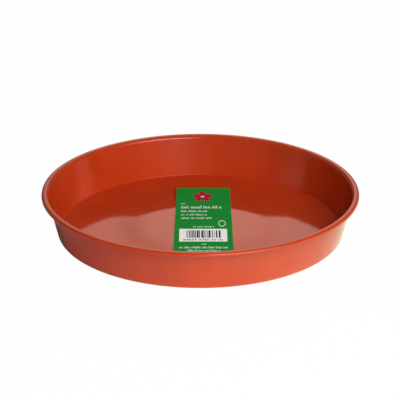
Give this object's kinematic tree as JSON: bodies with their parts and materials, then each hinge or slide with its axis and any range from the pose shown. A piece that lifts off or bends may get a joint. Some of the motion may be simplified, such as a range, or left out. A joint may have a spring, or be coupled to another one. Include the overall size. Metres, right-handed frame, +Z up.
{
  "type": "plant saucer",
  "caption": "Round shallow plastic plant saucer with a leaning wall, turned-out rim and slightly raised floor, with a tapered card label stuck inside that lifts off.",
  "frame": {"origin": "middle of the foot, on the surface that the saucer stands on", "axes": "+Z up out of the dish, -Y the front where the near end of the label lies, +X to the right"},
  "size_m": [0.25, 0.25, 0.0344],
  "materials": {
    "terracotta_plastic": "satin",
    "printed_card": "satin",
    "clear_glue": "gloss"
  },
  "bodies": {
    "saucer": {"saucer": "terracotta_plastic"},
    "label": {"label_card": "printed_card", "glue_dot_rear": "clear_glue", "glue_dot_front": "clear_glue"}
  },
  "joints": [
    {"name": "label_lift", "type": "slide", "parent": "saucer", "child": "label", "axis": [0, 0, 1], "range_m": [0, 0.06]}
  ]
}
